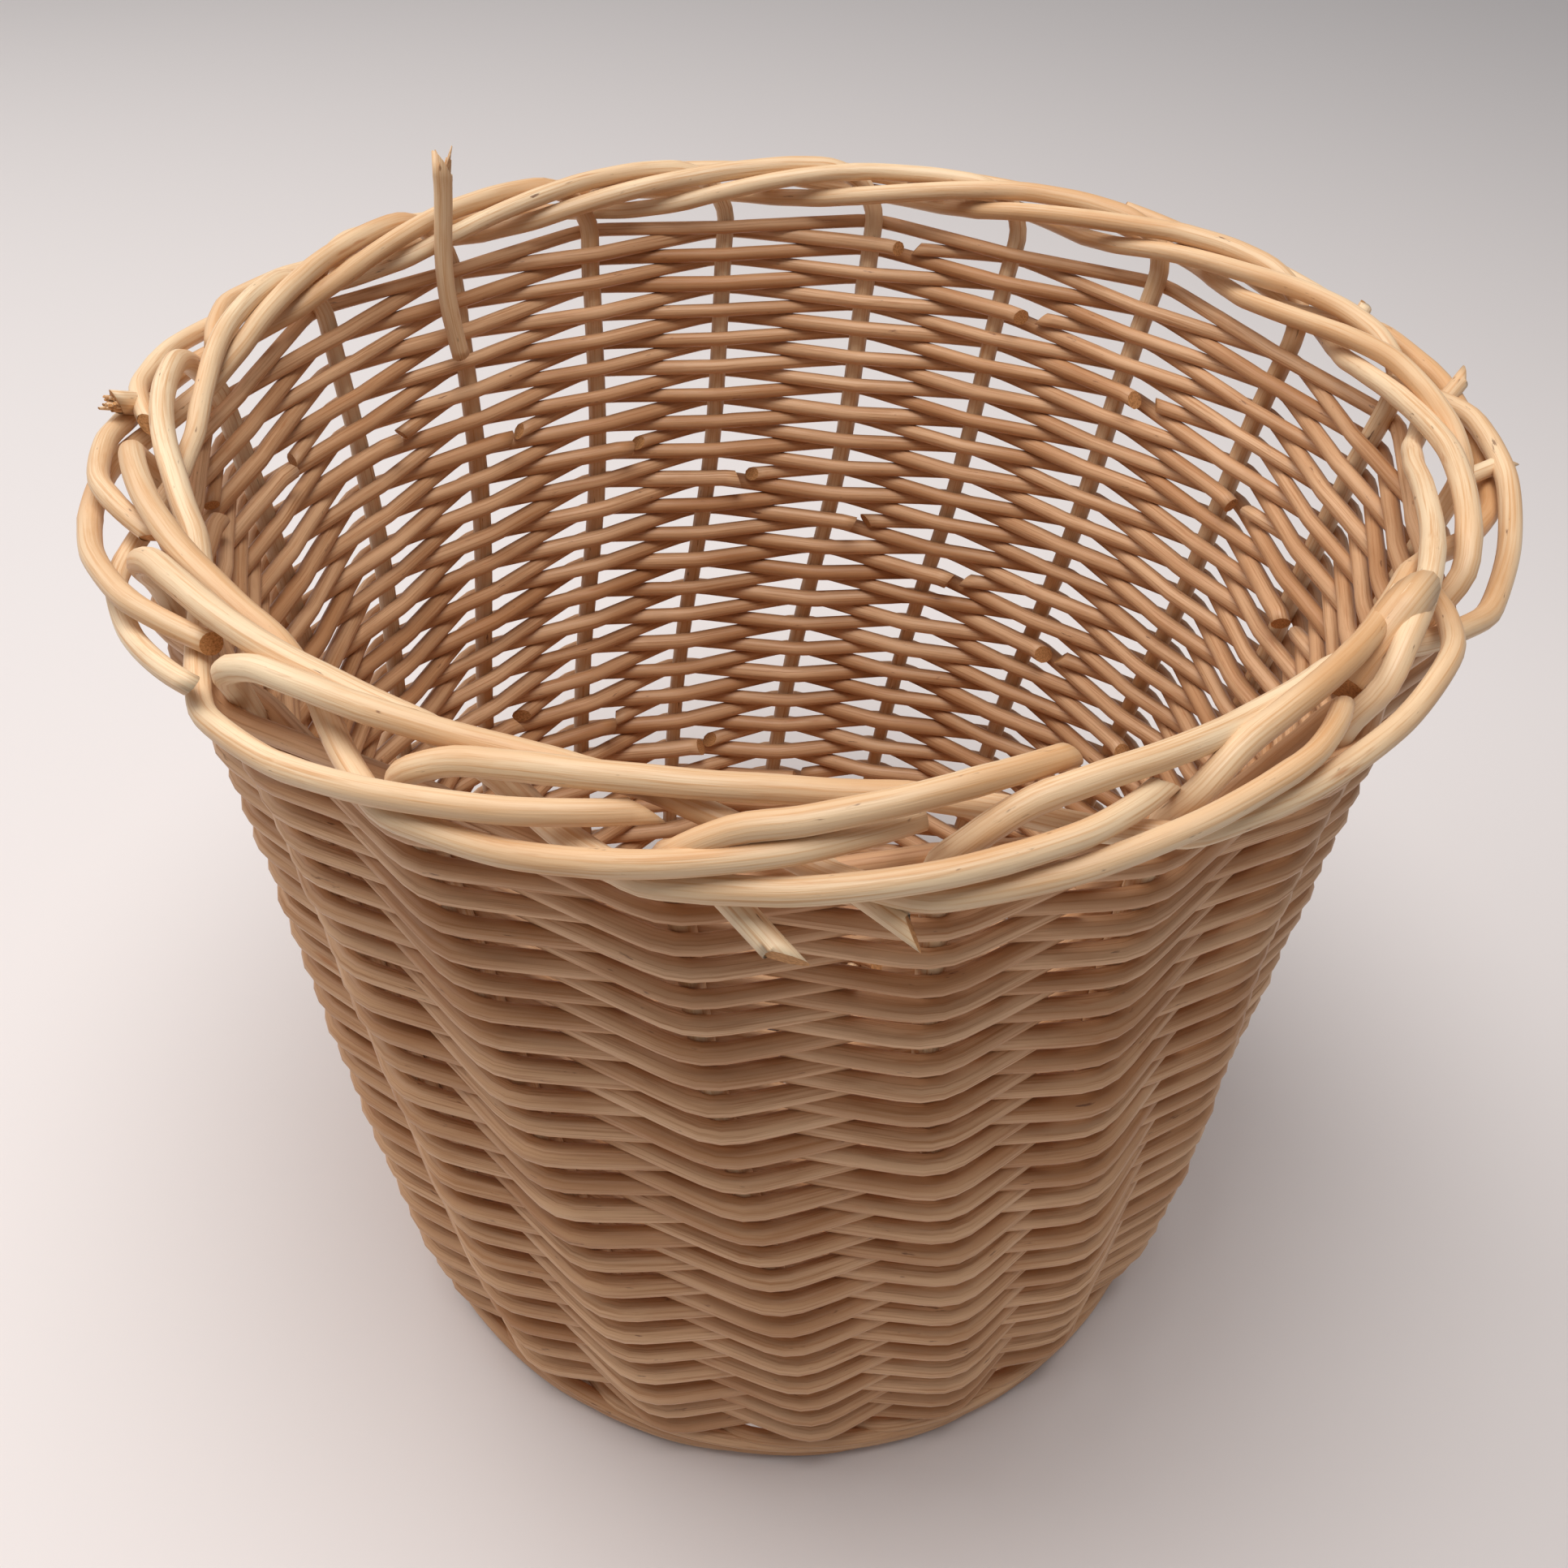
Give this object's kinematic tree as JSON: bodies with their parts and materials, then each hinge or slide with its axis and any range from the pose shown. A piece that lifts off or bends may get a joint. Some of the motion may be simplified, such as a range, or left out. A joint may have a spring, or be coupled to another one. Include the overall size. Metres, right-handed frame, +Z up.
{
  "type": "woven wicker basket",
  "caption": "Round tapered open basket woven in peeled willow rods, with a rolled border, a thick wale at the foot and a woven round base.",
  "frame": {"origin": "on the floor, at the centre of the foot", "axes": "+Z up along the basket's axis, -Y towards the front"},
  "size_m": [0.2726, 0.2726, 0.249],
  "materials": {
    "siding": "peeled willow weavers, satin, in 1/1 randing",
    "stakes": "peeled willow rods, satin, fine lengthwise grain",
    "foot_wale": "peeled willow rods, satin",
    "base_weave": "peeled willow weavers, satin",
    "base_sticks": "peeled thick willow sticks, satin"
  },
  "bodies": {
    "root": {"base_stick_1": "base_sticks", "base_stick_2": "base_sticks", "base_stick_3": "base_sticks", "base_stick_4": "base_sticks", "base_stick_5": "base_sticks", "base_weave": "base_weave", "foot_wale": "foot_wale", "siding_1": "siding", "siding_2": "siding", "siding_3": "siding", "siding_4": "siding", "siding_5": "siding", "siding_6": "siding", "siding_7": "siding", "siding_8": "siding", "stake_01": "stakes", "stake_02": "stakes", "stake_03": "stakes", "stake_04": "stakes", "stake_05": "stakes", "stake_06": "stakes", "stake_07": "stakes", "stake_08": "stakes", "stake_09": "stakes", "stake_10": "stakes", "stake_11": "stakes", "stake_12": "stakes", "stake_13": "stakes", "stake_14": "stakes", "stake_15": "stakes", "stake_16": "stakes", "stake_17": "stakes", "stake_18": "stakes", "stake_19": "stakes", "stake_20": "stakes", "broken_stub": "stakes"}
  },
  "joints": []
}
